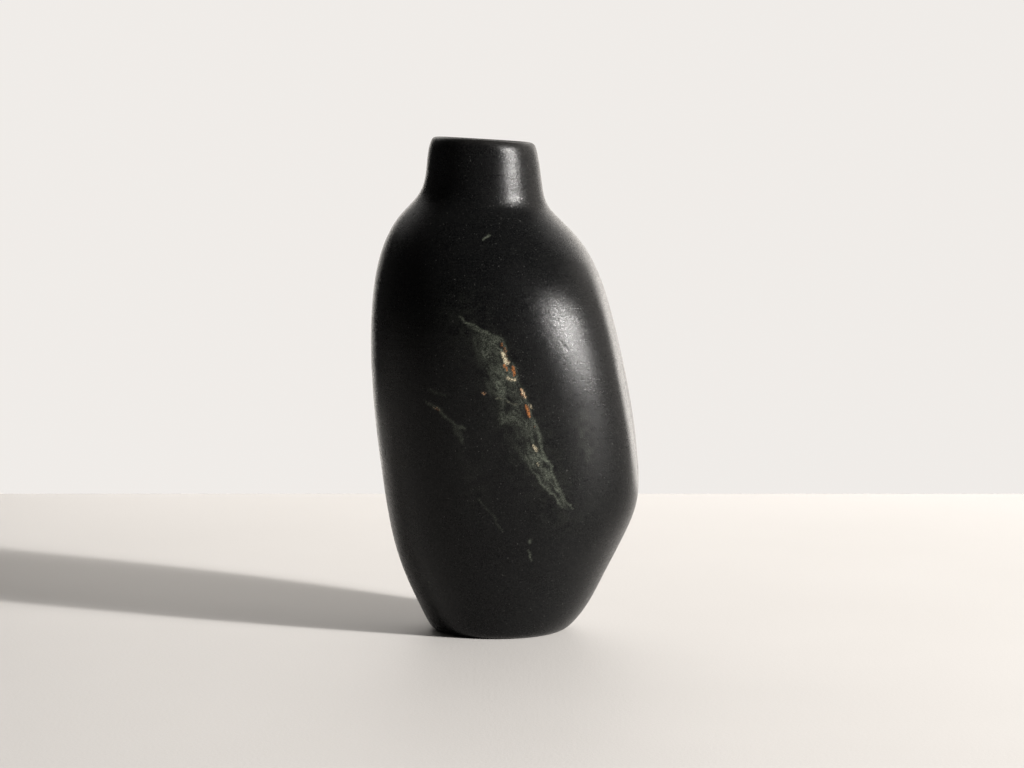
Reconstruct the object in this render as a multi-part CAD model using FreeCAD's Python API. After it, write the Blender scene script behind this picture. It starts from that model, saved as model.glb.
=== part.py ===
import FreeCAD, Part
import math
import os

# A hand-built bottle vase of black burnished clay, about 207 mm tall: a small round foot, a body
# that leans out to the right low down, a flat pressed into its right side, sloping shoulders and
# a short neck that stands left of the middle.
#
# It is seven members of clay, joined while damp: a base slab, three wall bands, a shoulder ring,
# a neck collar and a lip coil. Neighbours meet on a ring face that both share, bevelled so that
# it stands higher on the inside of the wall than on the outside. Nothing moves.
#
# Frame: +Z up, -Y the front. The foot stands on Z = 0 and the origin is its centre.
# Millimetres and degrees throughout.

# Driving dimensions
WALL = 5.5                 # thickness of the side, square to its slope
FLOOR_TOP = 7.0            # height of the floor inside
FLOOR_CORNER = 5.0         # rise of the rounded corner between the floor and the side
FLOOR_REACH = 19.0         # radius at which that corner has run out into the flat floor
FOOT_HOLLOW_RADIUS = 19.0  # the shallow hollow pressed into the underside
FOOT_HOLLOW_DEPTH = 1.2
LIP_FRONT_RISE = 1.0       # how much higher the lip is at its front than at its two sides
LIP_BACK_DIP = 0.5         # how much lower it is at its back than at its two sides
SQUARENESS = 0.03          # how far a ring swells between its four sides, halfway up the body
BODY_HEIGHT = 179.5        # the root of the neck, where that swelling has died out

# The flat pressed into the right side. Its reach from the axis falls away upwards along a long
# arc, and it is dished a little between its two ends. It is turned towards the front.
FLAT_REACH = 59.0
FLAT_REACH_HEIGHT = 40.0
FLAT_ARC_RADIUS = 345.0
FLAT_BOTTOM = 55.0
FLAT_TOP = 155.0
FLAT_DISH = 0.8
FLAT_TURN = math.radians(-4.0)
FLAT_EDGE_SOFTNESS = 1.6

# Control rings of the outside, foot to lip. Each is an oval round the axis: its height, its
# reach to the left, right, front and back, and the slope of its plane (left side up).
FOOT_RINGS = [
    (0.0, 25.5, 24.5, 25.0, 25.0, 0.0),
    (0.0, 28.0, 27.0, 27.5, 27.5, 0.0),
    (2.5, 30.5, 30.5, 30.0, 30.0, 0.0),
    (11.0, 34.5, 37.5, 34.0, 34.0, 0.0),
]
SIDE_RINGS = [
    (25.0, 41.0, 44.0, 40.0, 40.0, 0.0),
    (40.0, 45.5, 52.0, 45.5, 45.5, 0.0),
    (54.0, 48.0, 60.5, 49.0, 49.0, 0.0),
    (68.0, 50.0, 63.5, 51.0, 51.0, 0.0),
    (87.0, 52.5, 62.5, 52.5, 52.0, 0.0),
    (108.0, 54.0, 58.5, 53.5, 52.0, 0.0),
    (130.0, 54.5, 52.5, 53.0, 51.0, 1.0),
    (147.5, 52.5, 47.0, 49.0, 47.5, 2.5),
    (161.0, 48.5, 39.0, 41.5, 41.5, 3.5),
    (171.5, 42.5, 29.5, 31.5, 33.5, 4.5),
    (179.5, 34.0, 19.0, 24.5, 24.5, 5.0),
    (187.5, 31.0, 17.5, 24.0, 23.5, 4.5),
    (196.0, 30.5, 16.5, 23.0, 23.0, 4.0),
]
LIP_RINGS = [
    (202.5, 29.5, 15.5, 22.5, 22.5, 3.5),
    (205.5, 28.0, 14.0, 21.0, 21.0, 3.5),
    (205.5, 26.0, 11.5, 19.0, 19.0, 3.5),
    (204.5, 24.0, 10.0, 17.0, 17.0, 3.0),
]

# Members from the foot upwards, and where each one ends: the height on the outside, and on the
# inside. The base slab's joint is nearly level, and the others are bevelled. The lip coil is the
# last member, and closes over the top.
MEMBER_TOPS = {
    "base_slab": (6.0, 7.5),
    "lower_wall": (47.0, 52.0),
    "belly_band": (88.0, 93.0),
    "upper_wall": (129.0, 134.0),
    "shoulder_ring": (177.0, 182.0),
    "neck_collar": (196.0, 200.0),
}

POLES_AROUND = 96
DEGREE = 3


def flat_reach(height):
    """How far the pressed flat stands from the axis at a height."""
    reach = FLAT_REACH - (height - FLAT_REACH_HEIGHT) ** 2 / (2 * FLAT_ARC_RADIUS)
    along = (height - FLAT_BOTTOM) / (FLAT_TOP - FLAT_BOTTOM)
    if 0 < along < 1:
        reach -= FLAT_DISH * math.sin(math.pi * along) ** 2
    return reach


def press(beyond):
    """How far a point that stands beyond the flat is pushed in, with a soft start."""
    ratio = beyond / FLAT_EDGE_SOFTNESS
    return FLAT_EDGE_SOFTNESS * (max(ratio, 0.0) + math.log1p(math.exp(-abs(ratio))))


def ring_poles(ring, flat_inset=0.0, front_rise=0.0, back_dip=0.0):
    """The control points of one ring, anticlockwise from its right side."""
    height, left, right, front, back, slope = ring
    middle_x = (right - left) / 2
    middle_y = (back - front) / 2
    # a cubic through poles on a circle runs inside them, and this puts it back on the oval
    swell = 3 / (2 + math.cos(2 * math.pi / POLES_AROUND))
    square = SQUARENESS * max(0.0, math.sin(math.pi * height / BODY_HEIGHT))
    poles = []
    for index in range(POLES_AROUND):
        angle = 2 * math.pi * index / POLES_AROUND
        scale = swell * (1 + square * (1 - math.cos(4 * angle)) / 2)
        x = middle_x + (left + right) / 2 * scale * math.cos(angle)
        y = middle_y + (front + back) / 2 * scale * math.sin(angle)
        beyond = x * math.cos(FLAT_TURN) + y * math.sin(FLAT_TURN)
        pressed = press(beyond - flat_reach(height) + flat_inset)
        x -= pressed * math.cos(FLAT_TURN)
        y -= pressed * math.sin(FLAT_TURN)
        z = height - math.tan(math.radians(slope)) * (x - middle_x)
        lift = front_rise if math.sin(angle) < 0 else -back_dip
        z += lift * math.sin(angle) ** 2
        poles.append(FreeCAD.Vector(x, y, z))
    return poles


def inner_ring(below, ring, above):
    """The ring inside an outer ring, one wall thickness in, square to the slope of the side."""
    rise = above[0] - below[0]
    reaches = []
    lift = 0.0
    for side in range(1, 5):
        run = above[side] - below[side]
        length = math.hypot(rise, run)
        reaches.append(ring[side] - WALL * rise / length)
        lift += WALL * run / length / 4
    return (ring[0] + lift, *reaches, ring[5])


def floor_rings():
    """The last rings inside: the rounded corner, and two level ones that lie in the floor."""
    foot, heel, side = FOOT_RINGS[-2], FOOT_RINGS[-1], SIDE_RINGS[0]
    wide = inner_ring(foot, heel, side)[1:5]
    narrow = [reach - FLOOR_CORNER / 2 for reach in wide]
    return [
        (FLOOR_TOP + FLOOR_CORNER, *wide, 0.0),
        (FLOOR_TOP, *narrow, 0.0),
        (FLOOR_TOP, *[FLOOR_REACH] * 4, 0.0),
    ]


def control_net():
    """All the rings of control points: up the outside, over the lip and down to the floor."""
    outer = FOOT_RINGS + SIDE_RINGS
    net = [ring_poles(ring) for ring in outer]
    for ring in LIP_RINGS:
        net.append(ring_poles(ring, front_rise=LIP_FRONT_RISE, back_dip=LIP_BACK_DIP))
    whole = outer + LIP_RINGS
    for index in reversed(range(len(FOOT_RINGS), len(outer))):
        ring = inner_ring(whole[index - 1], whole[index], whole[index + 1])
        net.append(ring_poles(ring, flat_inset=WALL))
    net += [ring_poles(ring) for ring in floor_rings()]
    return net


def clay_skin(net):
    """The whole skin of the pot as one smooth surface: u runs around it, v along the rings."""
    spans = len(net) - DEGREE
    columns = [list(column) for column in zip(*net)]
    around = [index / POLES_AROUND for index in range(POLES_AROUND + 1)]
    along = [index / spans for index in range(spans + 1)]
    surface = Part.BSplineSurface()
    surface.buildFromPolesMultsKnots(
        columns,
        [1] * (POLES_AROUND + 1),
        [DEGREE + 1] + [1] * (spans - 1) + [DEGREE + 1],
        around,
        along,
        True,
        False,
        DEGREE,
        DEGREE,
    )
    return surface


def crest_level(net):
    """The v of the top of the lip, midway between the two highest rings."""
    crest_ring = len(FOOT_RINGS) + len(SIDE_RINGS) + 1.5
    return (crest_ring - 1) / (len(net) - DEGREE)


def mean_height(skin, level):
    """The height of a level line of the skin, midway between its right and left sides."""
    return (skin.value(0.0, level).z + skin.value(0.5, level).z) / 2


def level_at(skin, height, end, crest):
    """The v between one end of the skin and the crest at which its mean height is given."""
    below, above = end, crest
    for _ in range(40):
        middle = (below + above) / 2
        if mean_height(skin, middle) < height:
            below = middle
        else:
            above = middle
    return (below + above) / 2


def band(skin, start, end):
    """The stretch of the skin between two levels, as a face."""
    piece = skin.copy()
    piece.segment(0.0, 1.0, start, end)
    return piece.toShape()


def level_edge(skin, level):
    """The closed line around the skin at a level."""
    return skin.vIso(level).toShape()


def disc(skin, level):
    """The flat face inside a level line that lies in one plane."""
    return Part.Face(Part.Wire([level_edge(skin, level)]))


def closed_solid(faces):
    """One solid from faces that share their edges."""
    shell = Part.Shell(faces)
    shell.sewShape()
    solid = Part.Solid(shell)
    if solid.Volume < 0:
        solid.reverse()
    return solid


def foot_hollow():
    """The ball whose lowest slice is the shallow hollow in the underside."""
    rise = FOOT_HOLLOW_DEPTH
    radius = (FOOT_HOLLOW_RADIUS ** 2 + rise ** 2) / (2 * rise)
    return Part.makeSphere(radius, FreeCAD.Vector(0, 0, rise - radius))


def build_members():
    """Every member of the pot as its own solid, by name."""
    net = control_net()
    skin = clay_skin(net)
    crest = crest_level(net)
    outside = [level_at(skin, top[0], 0.0, crest) for top in MEMBER_TOPS.values()]
    inside = [level_at(skin, top[1], 1.0, crest) for top in MEMBER_TOPS.values()]
    joints = []
    for outer_level, inner_level in zip(outside, inside):
        outer_edge = level_edge(skin, outer_level)
        inner_edge = level_edge(skin, inner_level)
        joints.append(Part.makeRuledSurface(outer_edge, inner_edge))

    names = list(MEMBER_TOPS)
    outer_foot = band(skin, 0.0, outside[0])
    inner_foot = band(skin, inside[0], 1.0)
    slab = closed_solid([disc(skin, 0.0), outer_foot, joints[0], inner_foot, disc(skin, 1.0)])
    members = {names[0]: slab.cut(foot_hollow()).Solids[0]}
    for index in range(1, len(names)):
        outer_band = band(skin, outside[index - 1], outside[index])
        inner_band = band(skin, inside[index], inside[index - 1])
        faces = [joints[index - 1], outer_band, joints[index], inner_band]
        members[names[index]] = closed_solid(faces)
    members["lip_coil"] = closed_solid([joints[-1], band(skin, outside[-1], inside[-1])])
    return members


def main():
    os.makedirs("parts", exist_ok=True)
    for name, solid in build_members().items():
        solid.exportStep(f"parts/{name}.step")


if __name__ == "__main__":
    main()
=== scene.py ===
import itertools
import math

import bpy
import numpy as np
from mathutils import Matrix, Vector


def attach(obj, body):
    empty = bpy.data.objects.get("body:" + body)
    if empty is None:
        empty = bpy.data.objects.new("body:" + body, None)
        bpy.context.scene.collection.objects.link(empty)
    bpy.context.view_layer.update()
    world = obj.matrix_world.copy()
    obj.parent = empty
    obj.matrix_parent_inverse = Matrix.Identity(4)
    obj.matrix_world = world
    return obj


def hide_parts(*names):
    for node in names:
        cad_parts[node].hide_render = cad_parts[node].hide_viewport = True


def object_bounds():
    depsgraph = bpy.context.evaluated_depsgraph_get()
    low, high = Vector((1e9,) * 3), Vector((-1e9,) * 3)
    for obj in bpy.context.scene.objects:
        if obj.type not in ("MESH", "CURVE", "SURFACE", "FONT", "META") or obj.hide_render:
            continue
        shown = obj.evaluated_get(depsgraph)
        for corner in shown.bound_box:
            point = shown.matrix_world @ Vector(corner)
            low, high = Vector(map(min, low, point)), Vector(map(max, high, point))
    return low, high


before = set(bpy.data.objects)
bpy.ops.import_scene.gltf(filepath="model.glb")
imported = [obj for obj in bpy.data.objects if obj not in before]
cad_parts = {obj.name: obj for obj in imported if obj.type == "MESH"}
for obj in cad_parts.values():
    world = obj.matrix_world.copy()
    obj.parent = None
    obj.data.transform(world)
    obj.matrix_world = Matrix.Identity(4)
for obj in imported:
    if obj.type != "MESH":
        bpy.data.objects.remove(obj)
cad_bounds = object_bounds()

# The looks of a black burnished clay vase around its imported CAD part. One smooth skin, from the
# same rings as the CAD, is sampled once as a grid of points. The relief of the hand-worked clay
# and the mineral patch are worked out on that grid, and it is cut into the seven members, so
# they meet without a mark. Lengths are millimetres until a mesh is made. -Y is the front.

MM = 0.001

# ---------------------------------------------------------------- form of the pot

WALL = 5.5
FLOOR_TOP = 7.0
FLOOR_CORNER = 5.0
FLOOR_REACH = 19.0
FOOT_HOLLOW_RADIUS = 19.0
FOOT_HOLLOW_DEPTH = 1.2
LIP_FRONT_RISE = 1.0
LIP_BACK_DIP = 0.5
SQUARENESS = 0.03
BODY_HEIGHT = 179.5
FLAT_REACH = 59.0
FLAT_REACH_HEIGHT = 40.0
FLAT_ARC_RADIUS = 345.0
FLAT_BOTTOM = 55.0
FLAT_TOP = 155.0
FLAT_DISH = 0.8
FLAT_TURN = math.radians(-4.0)
FLAT_EDGE_SOFTNESS = 1.6
POLES_AROUND = 96
DEGREE = 3

# height, reach to the left, right, front and back, slope of the ring's plane
FOOT_RINGS = [
    (0.0, 25.5, 24.5, 25.0, 25.0, 0.0),
    (0.0, 28.0, 27.0, 27.5, 27.5, 0.0),
    (2.5, 30.5, 30.5, 30.0, 30.0, 0.0),
    (11.0, 34.5, 37.5, 34.0, 34.0, 0.0),
]
SIDE_RINGS = [
    (25.0, 41.0, 44.0, 40.0, 40.0, 0.0),
    (40.0, 45.5, 52.0, 45.5, 45.5, 0.0),
    (54.0, 48.0, 60.5, 49.0, 49.0, 0.0),
    (68.0, 50.0, 63.5, 51.0, 51.0, 0.0),
    (87.0, 52.5, 62.5, 52.5, 52.0, 0.0),
    (108.0, 54.0, 58.5, 53.5, 52.0, 0.0),
    (130.0, 54.5, 52.5, 53.0, 51.0, 1.0),
    (147.5, 52.5, 47.0, 49.0, 47.5, 2.5),
    (161.0, 48.5, 39.0, 41.5, 41.5, 3.5),
    (171.5, 42.5, 29.5, 31.5, 33.5, 4.5),
    (179.5, 34.0, 19.0, 24.5, 24.5, 5.0),
    (187.5, 31.0, 17.5, 24.0, 23.5, 4.5),
    (196.0, 30.5, 16.5, 23.0, 23.0, 4.0),
]
LIP_RINGS = [
    (202.5, 29.5, 15.5, 22.5, 22.5, 3.5),
    (205.5, 28.0, 14.0, 21.0, 21.0, 3.5),
    (205.5, 26.0, 11.5, 19.0, 19.0, 3.5),
    (204.5, 24.0, 10.0, 17.0, 17.0, 3.0),
]

# Members from the foot upwards: where each ends on the outside and on the inside, and how far
# apart the rows of its mesh stand on the outside.
MEMBERS = {
    "base_slab": (6.0, 7.5, 0.8),
    "lower_wall": (47.0, 52.0, 0.55),
    "belly_band": (88.0, 93.0, 0.45),
    "upper_wall": (129.0, 134.0, 0.45),
    "shoulder_ring": (177.0, 182.0, 0.6),
    "neck_collar": (196.0, 200.0, 0.6),
    "lip_coil": (None, None, 0.5),
}
INSIDE_ROW_SPACING = 1.6
HOLLOW_ROWS = 12           # rows of the shallow hollow under the foot
FOOT_FACE_ROWS = 5
FLOOR_ROWS = 8
COLUMNS = 480
FRONT_CROWDING = 0.35      # how much closer the columns stand at the front than at the sides


def flat_reach(height):
    reach = FLAT_REACH - (height - FLAT_REACH_HEIGHT) ** 2 / (2 * FLAT_ARC_RADIUS)
    along = (height - FLAT_BOTTOM) / (FLAT_TOP - FLAT_BOTTOM)
    if 0 < along < 1:
        reach -= FLAT_DISH * math.sin(math.pi * along) ** 2
    return reach


def ring_poles(ring, flat_inset=0.0, front_rise=0.0, back_dip=0.0):
    """The control points of one ring, anticlockwise from its right side."""
    height, left, right, front, back, slope = ring
    middle_x = (right - left) / 2
    middle_y = (back - front) / 2
    swell = 3 / (2 + math.cos(2 * math.pi / POLES_AROUND))
    square = SQUARENESS * max(0.0, math.sin(math.pi * height / BODY_HEIGHT))
    angle = 2 * np.pi * np.arange(POLES_AROUND) / POLES_AROUND
    scale = swell * (1 + square * (1 - np.cos(4 * angle)) / 2)
    x = middle_x + (left + right) / 2 * scale * np.cos(angle)
    y = middle_y + (front + back) / 2 * scale * np.sin(angle)
    beyond = x * math.cos(FLAT_TURN) + y * math.sin(FLAT_TURN) - flat_reach(height) + flat_inset
    pressed = FLAT_EDGE_SOFTNESS * np.logaddexp(0, beyond / FLAT_EDGE_SOFTNESS)
    x = x - pressed * math.cos(FLAT_TURN)
    y = y - pressed * math.sin(FLAT_TURN)
    lift = np.where(np.sin(angle) < 0, front_rise, -back_dip) * np.sin(angle) ** 2
    z = height - math.tan(math.radians(slope)) * (x - middle_x) + lift
    return np.stack([x, y, z], axis=1)


def inner_ring(below, ring, above):
    """The ring inside an outer ring, one wall thickness in, square to the slope of the side."""
    rise = above[0] - below[0]
    reaches = []
    lift = 0.0
    for side in range(1, 5):
        run = above[side] - below[side]
        length = math.hypot(rise, run)
        reaches.append(ring[side] - WALL * rise / length)
        lift += WALL * run / length / 4
    return (ring[0] + lift, *reaches, ring[5])


def control_net():
    """All the rings of control points: up the outside, over the lip and down to the floor."""
    outer = FOOT_RINGS + SIDE_RINGS
    whole = outer + LIP_RINGS
    net = [ring_poles(ring) for ring in outer]
    for ring in LIP_RINGS:
        net.append(ring_poles(ring, front_rise=LIP_FRONT_RISE, back_dip=LIP_BACK_DIP))
    for index in reversed(range(len(FOOT_RINGS), len(outer))):
        ring = inner_ring(whole[index - 1], whole[index], whole[index + 1])
        net.append(ring_poles(ring, flat_inset=WALL))
    wide = inner_ring(FOOT_RINGS[-2], FOOT_RINGS[-1], SIDE_RINGS[0])[1:5]
    narrow = [reach - FLOOR_CORNER / 2 for reach in wide]
    net.append(ring_poles((FLOOR_TOP + FLOOR_CORNER, *wide, 0.0)))
    net.append(ring_poles((FLOOR_TOP, *narrow, 0.0)))
    net.append(ring_poles((FLOOR_TOP, *[FLOOR_REACH] * 4, 0.0)))
    return np.array(net)


def along_weights(levels, rings):
    """How much of each ring is in the skin at each level, from 0 at the foot to 1 at the floor."""
    knots = np.concatenate([[0.0] * DEGREE, np.linspace(0, 1, rings - DEGREE + 1), [1.0] * DEGREE])
    level = np.clip(levels, 0, 1 - 1e-12)[:, None]
    weights = ((knots[:-1] <= level) & (level < knots[1:])).astype(float)
    for degree in range(1, DEGREE + 1):
        rising = np.maximum(knots[degree:-1] - knots[:-degree - 1], 1e-15)
        falling = np.maximum(knots[degree + 1:] - knots[1:-degree], 1e-15)
        rise = (level - knots[:-degree - 1]) / rising * weights[:, :-1]
        fall = (knots[degree + 1:] - level) / falling * weights[:, 1:]
        weights = rise + fall
    return weights


def around_weights(turns):
    """How much of each pole of a ring is in the skin at each part of a turn from the right."""
    place = turns * POLES_AROUND
    first = np.floor(place).astype(int)
    f = place - first
    weights = np.zeros((len(turns), POLES_AROUND))
    cubic = (
        (1 - f) ** 3,
        3 * f ** 3 - 6 * f ** 2 + 4,
        -3 * f ** 3 + 3 * f ** 2 + 3 * f + 1,
        f ** 3,
    )
    for step, part in enumerate(cubic):
        weights[np.arange(len(turns)), (first - 1 + step) % POLES_AROUND] += part / 6
    return weights


def skin_points(net, levels, turns):
    return np.einsum("lr,rpc,tp->ltc", along_weights(levels, len(net)), net, around_weights(turns))


def stretches(net):
    """The levels where the members end, in order along the skin, and the row spacing between."""
    crest_ring = len(FOOT_RINGS) + len(SIDE_RINGS) + 1.5
    crest = (crest_ring - 1) / (len(net) - DEGREE)
    rising = np.linspace(0, crest, 2001)
    falling = np.linspace(1, crest, 2001)
    sides = np.array([1, 1 + POLES_AROUND / 2]) / POLES_AROUND
    tops = list(MEMBERS.values())[:-1]
    heights = skin_points(net, rising, sides)[..., 2].mean(axis=1)
    outside = [float(np.interp(top[0], heights, rising)) for top in tops]
    heights = skin_points(net, falling, sides)[..., 2].mean(axis=1)
    inside = [float(np.interp(top[1], heights, falling)) for top in tops]
    marks = [0.0, *outside, crest, *reversed(inside), 1.0]
    spacings = [member[2] for member in MEMBERS.values()]
    spacings += [spacings[-1]] + [INSIDE_ROW_SPACING] * len(inside)
    return marks, spacings


def row_levels(net):
    """The level of every row of the mesh, and the row on which each mark falls."""
    marks, spacings = stretches(net)
    dense = np.linspace(0, 1, 6001)
    line = skin_points(net, dense, np.arange(8) / 8)
    steps = np.linalg.norm(np.diff(line, axis=0), axis=2).mean(axis=1)
    lengths = np.concatenate([[0.0], np.cumsum(steps)])
    levels = [0.0]
    rows = [0]
    for start, end, spacing in zip(marks, marks[1:], spacings):
        first, last = np.interp([start, end], dense, lengths)
        count = max(2, math.ceil((last - first) / spacing))
        stations = np.linspace(first, last, count + 1)[1:]
        levels += list(np.interp(stations, lengths, dense))
        levels[-1] = end
        rows.append(len(levels) - 1)
    return np.array(levels), rows


def base_grid():
    """The whole pot as rows of points: underside, outside, lip, inside and floor."""
    net = control_net()
    levels, marks = row_levels(net)
    even = np.arange(COLUMNS) / COLUMNS
    turns = even - FRONT_CROWDING * np.cos(2 * np.pi * even) / (2 * np.pi)
    turns = (turns - turns[0]) % 1.0
    skin = skin_points(net, levels, turns)

    circle = np.stack([np.cos(2 * np.pi * turns), np.sin(2 * np.pi * turns), 0 * turns], axis=1)
    rise = FOOT_HOLLOW_DEPTH
    ball = (FOOT_HOLLOW_RADIUS ** 2 + rise ** 2) / (2 * rise)
    underside = []
    for part in np.arange(1, HOLLOW_ROWS + 1) / HOLLOW_ROWS:
        radius = FOOT_HOLLOW_RADIUS * part
        height = rise - ball + math.sqrt(ball ** 2 - radius ** 2)
        underside.append(circle * radius + [0, 0, height])
    edge = underside[-1]
    for part in np.arange(1, FOOT_FACE_ROWS) / FOOT_FACE_ROWS:
        underside.append(edge * (1 - part) + skin[0] * part)

    centre = np.array([0, 0, FLOOR_TOP])
    floor = []
    for part in np.arange(1, FLOOR_ROWS) / FLOOR_ROWS:
        floor.append(skin[-1] * (1 - part) + centre * part)
    grid = np.concatenate([underside, skin, floor])
    return grid, [len(underside) + mark for mark in marks], len(underside) + len(levels)


def grid_normals(grid):
    across = np.roll(grid, -1, axis=1) - np.roll(grid, 1, axis=1)
    normal = np.cross(across, np.gradient(grid, axis=0))
    return normal / np.maximum(np.linalg.norm(normal, axis=2, keepdims=True), 1e-12)


# ---------------------------------------------------------------- noise and strokes

LATTICE = 64


def noise(points, cell, seed):
    """Smooth noise from -1 to 1, in lumps about one cell across. A cell may be (x, y, z)."""
    values = np.random.default_rng(seed).uniform(-1, 1, (LATTICE,) * 3)
    place = points / np.asarray(cell, float)
    corner = np.floor(place).astype(int)
    blend = place - corner
    blend = blend * blend * (3 - 2 * blend)
    total = np.zeros(points.shape[:-1])
    for step in itertools.product((0, 1), repeat=3):
        index = (corner + step) % LATTICE
        weight = np.prod(np.where(step, blend, 1 - blend), axis=-1)
        total += weight * values[index[..., 0], index[..., 1], index[..., 2]]
    return total


def soft_step(value, low, high):
    part = np.clip((value - low) / (high - low), 0, 1)
    return part * part * (3 - 2 * part)


def distance_to_line(places, line):
    """How far each (x, z) place is from a broken line, and how far along the line it is, 0 to 1."""
    best = np.full(places.shape[:-1], 1e9)
    along = np.zeros(places.shape[:-1])
    count = len(line) - 1
    for index in range(count):
        start, end = np.array(line[index], float), np.array(line[index + 1], float)
        span = end - start
        part = np.clip(((places - start) @ span) / (span @ span), 0, 1)
        distance = np.linalg.norm(places - start - part[..., None] * span, axis=-1)
        nearer = distance < best
        best = np.where(nearer, distance, best)
        along = np.where(nearer, (index + part) / count, along)
    return best, along


def stroke(places, line, width, taper=0.0):
    """A soft stroke along a line, 1 on its middle, thinning towards its two ends by taper."""
    distance, along = distance_to_line(places, line)
    thinning = 1 - taper * np.abs(2 * along - 1) ** 2
    return np.exp(-(distance / (width * thinning)) ** 2)


# ---------------------------------------------------------------- mineral patch on the front

# The patch lies along a straight line down the front. Its head and foot are given as parts of
# the pot's width from the middle of its box, and of its height. A place on it is (down, aside):
# millimetres down the line from the head, and square to the line towards the upper right.
PATCH_HEAD = (-0.14, 0.65)
PATCH_FOOT = (0.21, 0.29)
RIGHT_BORDER = (9.0, 0.40)     # how far the border bows out, and how early (below 1 is early)
LEFT_BORDER = (6.0, 1.30)
PATCH_POINT = 0.16             # the part of the line over which it opens out from a point
BORDER_STRENGTH = (0.75, 0.35) # of the right border and the left one
EDGE_RAGGED = 1.8              # how far the edge of the patch wanders
CRACK_START = (0.15, 0.22)     # the parts of the line where the cream and rust set in
CRACK_END = (0.66, 0.58)       # and where they stop

BENDS = (1.1, 0.60, 0.45)      # how far strokes are bent aside at three scales

# Every stroke is (width, strength, line).
FILAMENTS = [
    (0.5, 0.75, [(-3, -1), (0, 0), (4, 3), (8, 6)]),
    (0.5, 0.70, [(12, 5), (17, 7), (20, 7), (25, 5)]),
    (0.4, 0.60, [(20, 8), (24, 6), (28, 6), (33, 6)]),
    (0.5, 0.55, [(33, -4), (34, -1), (38, 2), (40, 5)]),
    (0.4, 0.40, [(30, -2), (33, 0), (38, 5), (42, 6)]),
    (0.4, 0.45, [(40, 1), (46, 2), (52, 2), (57, 1)]),
    (0.4, 0.50, [(46, 5), (52, 3), (58, 1)]),
    (0.4, 0.80, [(57, 1), (61, 1), (65, 3), (68, 3)]),
    (0.4, 0.60, [(63, -1), (68, -1), (74, -1), (80, 0), (88, 2)]),
    (0.5, 0.55, [(58, -4), (66, -5), (73, -4), (80, -2), (86, -1)]),
    (0.7, 0.45, [(22, -30), (27, -27), (32, -26), (36, -24), (38, -21)]),
    (1.2, 0.26, [(36, -25), (39, -24), (43, -25)]),
    (0.6, 0.22, [(18, -27), (20, -25), (23, -22)]),
    (0.4, 0.26, [(66, -30), (74, -28), (84, -27)]),
    (0.5, 0.50, [(94, -23), (99, -23)]),
    (0.7, 0.50, [(91, -20), (92, -20)]),
    (0.4, 0.85, [(-25, 21), (-25, 24)]),
    (0.5, 0.45, [(90, -66), (91, -66)]),
]
HAZE = [
    (11, 0.07, [(0, 0), (84, 0)]),
    (6, 0.05, [(44, -25), (54, -26), (66, -30)]),
    (4, 0.12, [(58, 23), (71, 18)]),
]
CREAM = [
    (1.0, 0.95, [(18, 7), (22, 7)]),
    (0.7, 0.85, [(28, 5), (29, 7)]),
    (0.4, 0.70, [(34, 7), (38, 7)]),
    (0.5, 0.65, [(41, 7), (43, 7)]),
    (0.4, 0.35, [(33, -4), (36, 0), (39, 4)]),
    (0.5, 0.95, [(57, 1), (60, 1)]),
    (0.4, 0.60, [(63, -1), (65, -1)]),
    (0.6, 0.50, [(28, -8), (29, -7)]),
    (0.5, 0.40, [(25, -28), (28, -27)]),
]
RUST = [
    (0.5, 0.95, [(22, 6), (25, 5)]),
    (0.5, 0.95, [(24, 8), (28, 7)]),
    (0.4, 0.55, [(14, 8), (18, 9)]),
    (0.5, 0.95, [(34, 7), (38, 7)]),
    (0.6, 0.95, [(41, 6), (46, 5)]),
    (0.5, 0.80, [(28, -8), (29, -7)]),
    (0.4, 0.45, [(25, -28), (27, -28)]),
]
DARK_HOLES = [
    (1.0, 1.0, [(34, 1), (36, 2)]),
    (0.7, 1.0, [(19, 9), (22, 9)]),
    (0.5, 1.0, [(31, 7), (33, 7)]),
]


def patch_places(points):
    """Every point as (down, aside) on the line of the patch, and how long that line is."""
    low, high = (np.array(corner) / MM for corner in cad_bounds)
    middle = (low + high) / 2
    size = high - low
    ends = [
        np.array([middle[0] + across * size[0], low[2] + up * size[2]])
        for across, up in (PATCH_HEAD, PATCH_FOOT)
    ]
    length = np.linalg.norm(ends[1] - ends[0])
    down = (ends[1] - ends[0]) / length
    aside = np.array([-down[1], down[0]])
    offset = points[..., [0, 2]] - ends[0]
    return np.stack([offset @ down, offset @ aside], axis=-1), length


def border(part, reach, early):
    """How far a bowed border stands off the line, at each part of the way down it."""
    bow = np.sin(np.pi * np.clip(part, 0, 1) ** early)
    return reach * bow * soft_step(part, 0, PATCH_POINT)


def fibres(places, depth, seed, long, fine):
    """Thin bright ridges that run down the patch."""
    spot = np.concatenate([places, depth[..., None]], axis=-1)
    ridge = 1 - np.abs(noise(spot, (long, fine, 4.0), seed)) * 2.2
    return np.clip(ridge, 0, 1) ** 2


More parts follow.
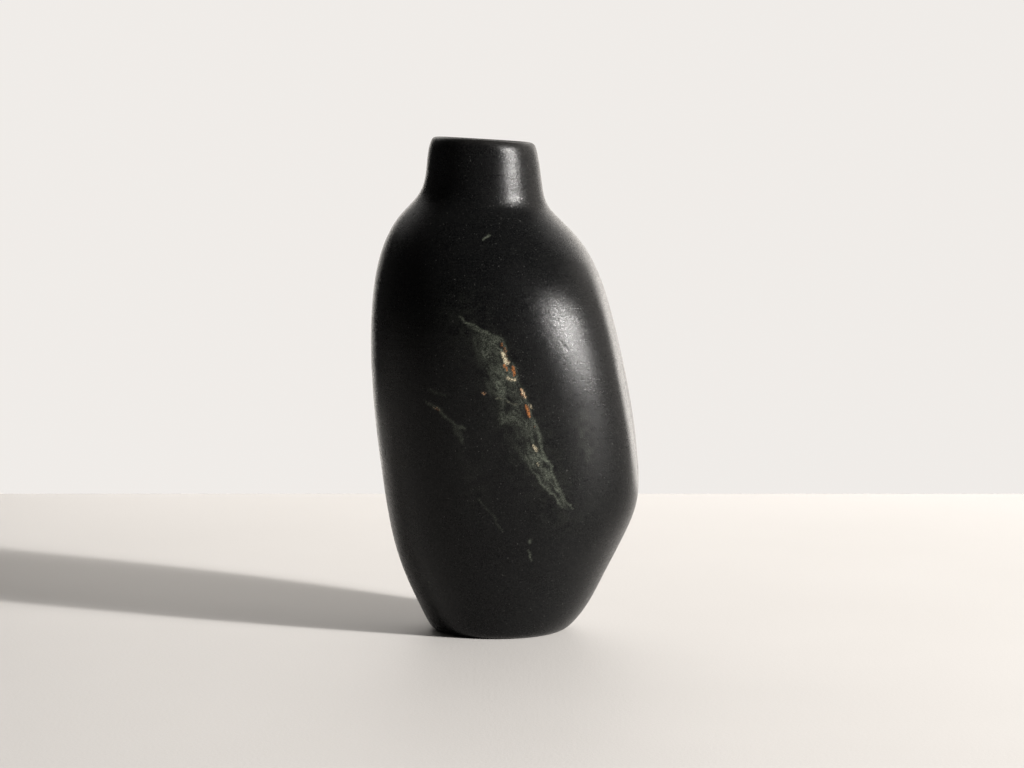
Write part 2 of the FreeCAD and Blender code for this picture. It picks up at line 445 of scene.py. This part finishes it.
def minerals(points, outside):
    """Grey-green vein, cream and rust at every point, each from 0 to 1."""
    places, length = patch_places(points)
    depth = points[..., 1]
    for axis in (0, 1):
        bend = BENDS[0] * noise(points, 5.5, 44 + axis) + BENDS[1] * noise(points, 2.6, 40 + axis)
        places[..., axis] += bend + BENDS[2] * noise(points, 0.8, 42 + axis)
    front = outside & (depth < 0)
    broken = 0.55 + 0.45 * noise(points, 1.6, 46)
    part = places[..., 0] / length
    to_right = border(part, *RIGHT_BORDER) - places[..., 1]
    to_left = border(part, *LEFT_BORDER) + places[..., 1]
    on_patch = soft_step(part, -0.02, 0.08) * soft_step(part, 1.06, 0.94)

    strands = np.maximum(fibres(places, depth, 50, 5.0, 1.1), 0.9 * fibres(places, depth, 51, 3.0, 0.8))
    strands = 0.16 + 1.2 * np.maximum(strands, 0.8 * fibres(places, depth, 53, 2.0, 0.6))
    ragged = np.minimum(to_left, to_right) + EDGE_RAGGED * noise(points, 4.5, 47)
    body = soft_step(ragged, -0.5, 3.0) * (0.60 + 0.70 * noise(points, 3.2, 48))
    vein = np.clip(body, 0, 1) * on_patch * strands * (0.66 - 0.14 * part)
    ragged_right = np.exp(-(to_right / 0.6) ** 2) * (0.25 + 0.75 * broken)
    ragged_left = np.exp(-(to_left / 0.8) ** 2) * np.clip(noise(points, 6.0, 49) + 0.2, 0, 1)
    right, left = BORDER_STRENGTH
    vein = np.maximum(vein, on_patch * np.maximum(right * ragged_right, left * ragged_left))
    for width, strength, line in HAZE:
        vein += strength * stroke(places, line, width) * np.clip(0.5 + noise(points, 2.2, 52), 0, 1)
    for width, strength, line in FILAMENTS:
        vein = np.maximum(vein, stroke(places, line, width, 0.3) * strength * (0.55 + 0.85 * broken))
    for width, strength, line in DARK_HOLES:
        vein *= 1 - strength * stroke(places, line, width)

    crack = soft_step(part, *CRACK_START) * soft_step(part, *CRACK_END)
    cream = 0.50 * ragged_right * crack * soft_step(broken, 0.5, 0.95)
    for width, strength, line in CREAM:
        cream = np.maximum(cream, stroke(places, line, width) * strength * (0.60 + 0.60 * broken))
    patchy = soft_step(noise(points, 3.0, 54), 0.0, 0.5)
    rust = 0.42 * np.exp(-((to_right - 0.7) / 0.5) ** 2) * crack * patchy
    for width, strength, line in RUST:
        rust = np.maximum(rust, stroke(places, line, width, 0.5) * strength)
    layers = np.stack([vein, soft_step(cream, 0.2, 0.85), soft_step(rust, 0.2, 0.8)], axis=-1)
    return np.clip(layers, 0, 1) * front[..., None]


# ---------------------------------------------------------------- relief of the clay

# Each kind of unevenness is (height, size of its lumps). The last number of a noise is its seed.
LONG_SWELL = (0.20, 34.0)
SHORT_SWELL = (0.07, 12.0)
PEBBLE = (0.012, 3.1)
GRIT = (0.0035, 0.8)
LOW_MARKS = (0.005, 9.0, 1.4)  # (height, length, breadth) of the level tool marks
HIGH_MARKS = (0.012, 26.0, 1.7)
SHOULDER_START, SHOULDER_END = 135, 165
PIT_DEPTH = 0.14
VEIN_DEPTH = 0.05
CREAM_DEPTH = 0.10
RUST_DEPTH = 0.08
SCRATCH_DEPTH = 0.07
HOLE_DEPTH = 0.22
FLAT_HOLLOW_DEPTH = 0.14
FLAT_HOLLOW_WIDTH = 6.0
FLAT_FROM_X = 40
COIL_RIDGE = 0.35
COIL_HEIGHT = 12.0
FOOT_CALM = 10.0           # the height over which the hand-worked unevenness sets in
SCRATCH = [(25, 30), (27, 30), (30, 31)]      # on the patch's line, beyond its right border
FLAT_HOLLOW_LINE = [(110, 3), (60, -3)]       # (height, depth) down the flat


def lumps(points, kind, seed):
    """Unevenness of one kind, with its lumps as wide as they are high."""
    height, size = kind
    return height * noise(points, size, seed)


def around_marks(points, kind, seed):
    """Level marks, as a tool leaves that goes round the pot."""
    height, length, breadth = kind
    return height * noise(points, (length, length, breadth), seed)


def outside_relief(points, layers):
    """How far the outside stands out from the smooth skin, and where the pits are."""
    height = points[..., 2]
    upper = soft_step(height, SHOULDER_START, SHOULDER_END)
    relief = lumps(points, LONG_SWELL, 11) + lumps(points, SHORT_SWELL, 12)
    relief += around_marks(points, LOW_MARKS, 13) * (1 - 0.5 * upper)
    relief += around_marks(points, HIGH_MARKS, 14) * upper
    relief += lumps(points, PEBBLE, 15) + lumps(points, GRIT, 19)
    pits = soft_step(noise(points, 1.7, 16), 0.84, 0.98)
    relief -= PIT_DEPTH * pits
    vein, cream, rust = (layers[..., index] for index in range(3))
    relief += VEIN_DEPTH * vein * noise(points, 0.9, 17) - VEIN_DEPTH * vein
    relief -= CREAM_DEPTH * cream * (0.6 + 0.4 * noise(points, 1.1, 18))
    relief -= RUST_DEPTH * rust
    front = points[..., 1] < 0
    places, _ = patch_places(points)
    relief -= SCRATCH_DEPTH * stroke(places, SCRATCH, 0.35, 0.5) * front
    for width, _, line in DARK_HOLES:
        relief -= HOLE_DEPTH * stroke(places, line, width) * front
    right = points[..., 0] > FLAT_FROM_X
    hollow = stroke(points[..., [2, 1]], FLAT_HOLLOW_LINE, FLAT_HOLLOW_WIDTH, 0.6)
    relief -= FLAT_HOLLOW_DEPTH * hollow * right
    return relief * soft_step(height, 0.3, FOOT_CALM), pits


def inside_relief(points):
    """Finger marks and coil ridges, left rough where no tool reaches."""
    height = points[..., 2] + 2.0 * noise(points, 30.0, 21)
    coils = COIL_RIDGE * np.cos(2 * np.pi * height / COIL_HEIGHT)
    return coils + 0.25 * noise(points, 9.0, 22) + 0.08 * noise(points, 2.5, 23)


def worked_surface():
    """The finished grid, its normals, its minerals and its finish, and the rows of the marks."""
    grid, marks, skin_end = base_grid()
    normals = grid_normals(grid)
    rows = np.arange(len(grid))[:, None]
    first, crest = marks[0], marks[len(MEMBERS)]
    outside = (rows >= first) & (rows <= crest) & np.ones(grid.shape[:2], bool)
    inward = soft_step(rows.astype(float), crest, crest + 30) * np.ones(grid.shape[:2])
    under = (rows < first) * np.ones(grid.shape[:2])

    layers = minerals(grid, outside)
    relief, pits = outside_relief(grid, layers)
    floor_calm = 1 - soft_step(rows.astype(float), skin_end - 25, skin_end)
    relief = np.where(outside, relief, inward * inside_relief(grid) * (0.3 + 0.7 * floor_calm))
    hollow = soft_step((HOLLOW_ROWS - 1.0 - rows), 0, 4)
    relief += under * hollow * -0.12 * (1 + noise(grid, 6.0, 24))
    calm_lip = soft_step(np.abs(rows - crest).astype(float), 0, 16)
    relief *= np.where(outside, 0.4 + 0.6 * calm_lip, 1.0)
    worked = grid + relief[..., None] * normals

    lip_wear = np.exp(-((rows - crest + 6) / 7.0) ** 2) * (0.5 + 0.5 * noise(grid, 3.0, 31))
    foot_wear = np.exp(-(grid[..., 2] / 1.4) ** 2) * (0.5 + 0.5 * noise(grid, 4.0, 32)) * (1 - inward)
    burnish = (1 - inward) * (1 - 0.7 * under) * (1 - 0.8 * np.exp(-((rows - crest) / 5.0) ** 2))
    finish = np.stack([burnish, np.clip(0.6 * lip_wear + foot_wear, 0, 1), pits * outside], axis=-1)
    return worked, grid_normals(worked), layers, finish, marks


# ---------------------------------------------------------------- meshes of the members


def member_rows(index, marks, total):
    """The rows of the grid that one member is made of, in order from its outside to its inside."""
    last = len(MEMBERS) - 1
    inner = marks[len(MEMBERS) + 1:]
    if index == last:
        return list(range(marks[index], inner[0] + 1))
    top_inside = inner[last - 1 - index]
    if index == 0:
        return list(range(0, marks[1] + 1)) + list(range(top_inside, total))
    bottom_inside = inner[last - index]
    outer = range(marks[index], marks[index + 1] + 1)
    return list(outer) + list(range(top_inside, bottom_inside + 1))


def strip(lower, upper):
    """The four-sided faces between two rows of points, given the first point of each."""
    here = np.arange(COLUMNS)
    after = (here + 1) % COLUMNS
    return np.stack([lower + here, lower + after, upper + after, upper + here], axis=1)


def member_mesh(name, rows, capped, surface):
    """One member as a closed mesh, with shading normals that carry on across its joints."""
    worked, normals, layers, finish = surface
    count = len(rows)
    pairs = [(step, step + 1) for step in range(count - 1)]
    if not capped:
        pairs.append((count - 1, 0))
    quads = np.concatenate([strip(a * COLUMNS, b * COLUMNS) for a, b in pairs])
    joint = np.repeat([rows[b] - rows[a] != 1 for a, b in pairs], COLUMNS)

    points = worked[rows].reshape(-1, 3)
    shading = normals[rows].reshape(-1, 3)
    colours = layers[rows].reshape(-1, 3)
    finishes = finish[rows].reshape(-1, 3)
    faces = quads.tolist()
    if capped:
        here = np.arange(COLUMNS)
        after = (here + 1) % COLUMNS
        top = (count - 1) * COLUMNS
        low_centre, high_centre = len(points), len(points) + 1
        faces += np.stack([after, here, np.full(COLUMNS, low_centre)], axis=1).tolist()
        faces += np.stack([top + here, top + after, np.full(COLUMNS, high_centre)], axis=1).tolist()
        centres = [points[:COLUMNS].mean(axis=0), points[top:].mean(axis=0)]
        points = np.concatenate([points, centres])
        shading = np.concatenate([shading, [[0, 0, -1], [0, 0, 1]]])
        colours = np.concatenate([colours, colours[[0, top]]])
        finishes = np.concatenate([finishes, finishes[[0, top]]])
        joint = np.concatenate([joint, np.zeros(2 * COLUMNS, bool)])

    mesh = bpy.data.meshes.new(name + "_worked")
    mesh.from_pydata((points * MM).tolist(), [], faces)
    mesh.polygons.foreach_set("use_smooth", ~joint)
    for title, values in (("mineral", colours), ("finish", finishes)):
        layer = mesh.attributes.new(title, "FLOAT_COLOR", "POINT")
        padded = np.concatenate([values, np.ones((len(values), 1))], axis=1)
        layer.data.foreach_set("color", padded.ravel())
    corners = np.empty(len(mesh.loops), np.int32)
    mesh.loops.foreach_get("vertex_index", corners)
    sizes = np.empty(len(mesh.polygons), np.int32)
    mesh.polygons.foreach_get("loop_total", sizes)
    loop_normals = shading[corners]
    loop_normals[np.repeat(joint, sizes)] = 0.0
    mesh.normals_split_custom_set(loop_normals.tolist())
    mesh.update()
    return mesh


def add_members(material):
    *surface, marks = worked_surface()
    total = len(surface[0])
    for index, name in enumerate(MEMBERS):
        rows = member_rows(index, marks, total)
        mesh = member_mesh(name, rows, index == 0, surface)
        mesh.materials.append(material)
        piece = bpy.data.objects.new(name + "_clay", mesh)
        bpy.context.scene.collection.objects.link(piece)
        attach(piece, "root")
        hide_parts(name)


# ---------------------------------------------------------------- materials


class Nodes:
    """A short way to add nodes to a material and link them."""

    def __init__(self, tree):
        self.tree = tree
        self.tree.nodes.clear()

    def add(self, kind, inputs=None, **settings):
        node = self.tree.nodes.new(kind)
        for key, value in settings.items():
            setattr(node, key, value)
        for key, value in (inputs or {}).items():
            if isinstance(value, bpy.types.NodeSocket):
                self.tree.links.new(value, node.inputs[key])
            else:
                node.inputs[key].default_value = value
        return node

    def noise(self, vector, scale, detail=2.0, roughness=0.5):
        inputs = {"Vector": vector, "Scale": scale, "Detail": detail, "Roughness": roughness}
        return self.add("ShaderNodeTexNoise", inputs).outputs["Fac"]

    def remap(self, value, low, high, to_low=0.0, to_high=1.0):
        inputs = {"Value": value, 1: low, 2: high, 3: to_low, 4: to_high}
        return self.add("ShaderNodeMapRange", inputs, clamp=True).outputs["Result"]

    def math(self, operation, a, b):
        node = self.add("ShaderNodeMath", {0: a, 1: b}, operation=operation)
        return node.outputs["Value"]

    def mix(self, factor, a, b):
        node = self.add("ShaderNodeMix", data_type="RGBA")
        for socket, value in zip((node.inputs[0], node.inputs[6], node.inputs[7]), (factor, a, b)):
            if isinstance(value, bpy.types.NodeSocket):
                self.tree.links.new(value, socket)
            elif isinstance(value, tuple):
                socket.default_value = (*value, 1.0)
            else:
                socket.default_value = value
        return node.outputs[2]


# Pairs are the two ends that a colour or a roughness wanders between.
SOOT = ((0.0010, 0.0011, 0.0013), (0.0022, 0.0023, 0.0025))
SOOT_TOOTH = (0.0090, 0.0092, 0.0088)
RAW_CLAY = ((0.008, 0.0077, 0.0073), (0.019, 0.018, 0.017))
SPECK = (0.075, 0.075, 0.070)
VEIN_GREY = ((0.016, 0.021, 0.017), (0.125, 0.136, 0.106))
RUST_OCHRE = ((0.055, 0.017, 0.006), (0.34, 0.125, 0.038))
CREAM_CHALK = ((0.060, 0.050, 0.032), (0.50, 0.43, 0.30))
WORN_EDGE = (0.045, 0.043, 0.041)
BURNISHED_ROUGHNESS = (0.25, 0.30)
FILM_WEIGHT = (0.02, 0.30)
GRAIN_BUMP = 0.00010           # metres
PAINT = ((0.56, 0.543, 0.526), (0.58, 0.563, 0.546))
PAINT_BUMP = 0.0002            # metres


def clay_material():
    """Burnished black clay with a mineral patch, matt inside and under the foot."""
    material = bpy.data.materials.new("black_clay")
    material.use_nodes = True
    nodes = Nodes(material.node_tree)
    place = nodes.add("ShaderNodeTexCoord").outputs["Object"]
    mineral = nodes.add("ShaderNodeAttribute", attribute_name="mineral").outputs["Color"]
    finish = nodes.add("ShaderNodeAttribute", attribute_name="finish").outputs["Color"]
    vein, cream, rust = nodes.add("ShaderNodeSeparateColor", {0: mineral}).outputs[:3]
    burnish, wear, pits = nodes.add("ShaderNodeSeparateColor", {0: finish}).outputs[:3]
    grain = nodes.noise(place, 1300.0, 3.0, 0.6)
    fine = nodes.noise(place, 4000.0, 2.0, 0.6)
    tooth = nodes.noise(place, 2500.0, 2.0, 0.6)
    cloud = nodes.noise(place, 55.0, 3.0, 0.55)
    level = nodes.add("ShaderNodeMapping", {"Vector": place, "Scale": (60.0, 60.0, 700.0)})
    streaks = nodes.noise(level.outputs["Vector"], 1.0, 3.0, 0.6)

    # colour: soot black, a little uneven, then the minerals, specks and wear over it
    black = nodes.mix(nodes.remap(cloud, 0.3, 0.7), *SOOT)
    black = nodes.mix(nodes.remap(tooth, 0.48, 0.68), black, SOOT_TOOTH)
    raw = nodes.mix(nodes.remap(grain, 0.35, 0.7), *RAW_CLAY)
    colour = nodes.mix(burnish, raw, black)
    specks = nodes.remap(nodes.noise(place, 1500.0, 1.0, 0.4), 0.73, 0.79, 0.0, 0.6)
    colour = nodes.mix(nodes.math("MULTIPLY", specks, burnish), colour, SPECK)
    grey = nodes.mix(nodes.remap(fine, 0.3, 0.7), *VEIN_GREY)
    worn = nodes.remap(tooth, 0.36, 0.62, 0.25, 1.35)
    colour = nodes.mix(nodes.math("MULTIPLY", vein, worn), colour, grey)
    chipped = nodes.remap(tooth, 0.36, 0.55, 0.30, 1.0)
    mottle = nodes.remap(tooth, 0.36, 0.62)
    ochre = nodes.mix(mottle, *RUST_OCHRE)
    chalk = nodes.mix(mottle, *CREAM_CHALK)
    colour = nodes.mix(nodes.math("MULTIPLY", rust, chipped), colour, ochre)
    colour = nodes.mix(nodes.math("MULTIPLY", cream, chipped), colour, chalk)
    scuff = nodes.math("MULTIPLY", wear, nodes.remap(grain, 0.45, 0.7, 0.0, 0.6))
    colour = nodes.mix(scuff, colour, WORN_EDGE)

    # gloss: smooth where it was burnished, rougher in the minerals and pits and inside
    rough = nodes.remap(cloud, 0.3, 0.7, *BURNISHED_ROUGHNESS)
    rough = nodes.math("ADD", rough, nodes.remap(streaks, 0.3, 0.7, -0.025, 0.03))
    rough = nodes.math("ADD", rough, nodes.remap(grain, 0.3, 0.7, -0.03, 0.05))
    rough = nodes.math("ADD", rough, nodes.math("MULTIPLY", vein, 0.18))
    rough = nodes.math("ADD", rough, nodes.math("MULTIPLY", pits, 0.20))
    rough = nodes.math("ADD", rough, nodes.remap(burnish, 0.0, 1.0, 0.35, 0.0))

    # the burnished film is broken by the grain, so the light sparkles on it
    film = nodes.remap(nodes.noise(place, 2100.0, 1.0, 0.5), 0.38, 0.60, *FILM_WEIGHT)

    # relief: the grain of the clay under the gloss
    height = nodes.math("ADD", tooth, nodes.math("MULTIPLY", grain, 0.25))
    height = nodes.math("ADD", height, nodes.math("MULTIPLY", streaks, 0.20))
    bump = nodes.add("ShaderNodeBump", {"Strength": 0.9, "Distance": GRAIN_BUMP, "Height": height})
    shader = nodes.add("ShaderNodeBsdfPrincipled", {
        "Base Color": colour,
        "Roughness": rough,
        "Specular IOR Level": 0.09,
        "Coat Weight": film,
        "Coat Roughness": 0.12,
        "Coat IOR": 1.45,
        "Normal": bump.outputs["Normal"],
        "Coat Normal": bump.outputs["Normal"],
    })
    nodes.add("ShaderNodeOutputMaterial", {"Surface": shader.outputs["BSDF"]})
    return material


def table_material():
    """Pale painted table top with a faint tooth."""
    material = bpy.data.materials.new("pale_table")
    material.use_nodes = True
    nodes = Nodes(material.node_tree)
    place = nodes.add("ShaderNodeTexCoord").outputs["Object"]
    tooth = nodes.noise(place, 700.0, 3.0, 0.6)
    cloud = nodes.noise(place, 6.0, 2.0)
    colour = nodes.mix(nodes.remap(cloud, 0.3, 0.7), *PAINT)
    bump = nodes.add("ShaderNodeBump", {"Strength": 0.35, "Distance": PAINT_BUMP, "Height": tooth})
    shader = nodes.add("ShaderNodeBsdfPrincipled", {
        "Base Color": colour,
        "Roughness": 0.6,
        "Specular IOR Level": 0.3,
        "Normal": bump.outputs["Normal"],
    })
    nodes.add("ShaderNodeOutputMaterial", {"Surface": shader.outputs["BSDF"]})
    return material


# ---------------------------------------------------------------- table, light and camera

TABLE_HALF_WIDTH = 2.2
TABLE_FRONT = -1.7
TABLE_BACK = 0.397
TABLE_EDGE_RADIUS = 0.004
TABLE_THICKNESS = 0.04
TABLE_EDGE_STEPS = 12

# Each light is named, then (azimuth, elevation) as seen from the pot, distance, size, radiance,
# colour and whether it is round. The window is a broad soft light with a small bright core.
WARM = (1.0, 0.975, 0.945)
LIGHTS = [
    ("window", (60, 18), 3.2, (0.60, 1.00), 76, WARM, True),
    ("window_core", (60, 16.5), 3.15, (0.15, 0.34), 1400, WARM, True),
    ("side_wall", (100, 12), 1.7, (2.0, 1.7), 1.25, (1.0, 0.935, 0.87), False),
    ("back_wall", (172, 4), 0.75, (0.95, 0.8), 1.9, (1.0, 0.95, 0.89), False),
    ("high_back", (180, 42), 1.6, (2.6, 1.0), 1.0, (1.0, 0.97, 0.94), False),
]
FILL_COLOUR = (1.0, 0.97, 0.94, 1.0)
FILL_STRENGTH = 0.045
WALL_COLOUR = (0.87, 0.84, 0.81, 1.0)


def add_table(base_z):
    """A table top with a rounded back edge, level with the foot of the pot."""
    profile = [(TABLE_FRONT, base_z - TABLE_THICKNESS), (TABLE_FRONT, base_z)]
    corner_y = TABLE_BACK - TABLE_EDGE_RADIUS
    corner_z = base_z - TABLE_EDGE_RADIUS
    for step in range(TABLE_EDGE_STEPS + 1):
        angle = math.pi / 2 * (1 - step / TABLE_EDGE_STEPS)
        y = corner_y + TABLE_EDGE_RADIUS * math.cos(angle)
        profile.append((y, corner_z + TABLE_EDGE_RADIUS * math.sin(angle)))
    profile.append((TABLE_BACK, base_z - TABLE_THICKNESS))
    count = len(profile)
    points = [(side * TABLE_HALF_WIDTH, y, z) for side in (-1, 1) for y, z in profile]
    faces = []
    for index in range(count):
        after = (index + 1) % count
        faces.append((index, after, count + after, count + index))
    faces.append(tuple(range(count))[::-1])
    faces.append(tuple(range(count, 2 * count)))
    mesh = bpy.data.meshes.new("table_top")
    mesh.from_pydata(points, [], faces)
    mesh.materials.append(table_material())
    table = bpy.data.objects.new("table_top", mesh)
    bpy.context.scene.collection.objects.link(table)


def direction(azimuth, elevation):
    """The way from the pot towards azimuth degrees round from the front to the right."""
    turn, lift = math.radians(azimuth), math.radians(elevation)
    level = math.cos(lift)
    return Vector((math.sin(turn) * level, -math.cos(turn) * level, math.sin(lift)))


def add_area_light(name, target, way, distance, size, radiance, colour, round_shape):
    """A soft light that looks at target, as bright as radiance seen from the pot."""
    light = bpy.data.lights.new(name, "AREA")
    light.shape = "ELLIPSE" if round_shape else "RECTANGLE"
    light.size, light.size_y = size
    area = size[0] * size[1] * (math.pi / 4 if round_shape else 1)
    light.energy = radiance * math.pi * area
    light.color = colour
    lamp = bpy.data.objects.new(name, light)
    lamp.location = target + way * distance
    lamp.rotation_euler = way.to_track_quat("Z", "Y").to_euler()
    lamp.visible_camera = False
    bpy.context.scene.collection.objects.link(lamp)


def add_lights(middle):
    for name, (azimuth, elevation), *rest in LIGHTS:
        add_area_light(name, middle, direction(azimuth, elevation), *rest)


def add_world():
    """A pale wall to look at, which gives the pot only a little light."""
    world = bpy.data.worlds.new("studio")
    bpy.context.scene.world = world
    world.use_nodes = True
    nodes = Nodes(world.node_tree)
    fill = nodes.add("ShaderNodeBackground", {"Color": FILL_COLOUR, "Strength": FILL_STRENGTH})
    wall = nodes.add("ShaderNodeBackground", {"Color": WALL_COLOUR, "Strength": 1.0})
    seen = nodes.add("ShaderNodeLightPath").outputs["Is Camera Ray"]
    mixed = nodes.add("ShaderNodeMixShader", {0: seen})
    nodes.tree.links.new(fill.outputs[0], mixed.inputs[1])
    nodes.tree.links.new(wall.outputs[0], mixed.inputs[2])
    nodes.add("ShaderNodeOutputWorld", {"Surface": mixed.outputs[0]})


CAMERA_AIM = Vector((0.00275, 0.00065, 0.0))   # from the middle of the pot's box
CAMERA_ELEVATION = 6.5
CAMERA_DISTANCE = 1.506
CAMERA_LENS = 126.5625


def add_camera(middle):
    camera = bpy.data.cameras.new("camera")
    camera.sensor_width = 36.0
    camera.lens = CAMERA_LENS
    eye = bpy.data.objects.new("camera", camera)
    way = direction(0, CAMERA_ELEVATION)
    eye.location = middle + CAMERA_AIM + way * CAMERA_DISTANCE
    eye.rotation_euler = way.to_track_quat("Z", "Y").to_euler()
    bpy.context.scene.collection.objects.link(eye)
    bpy.context.scene.camera = eye


low, high = (Vector(corner) for corner in cad_bounds)
middle = (low + high) / 2
add_members(clay_material())
add_table(low.z)
add_lights(middle)
add_world()
add_camera(middle)
bpy.context.scene.view_settings.view_transform = "Standard"
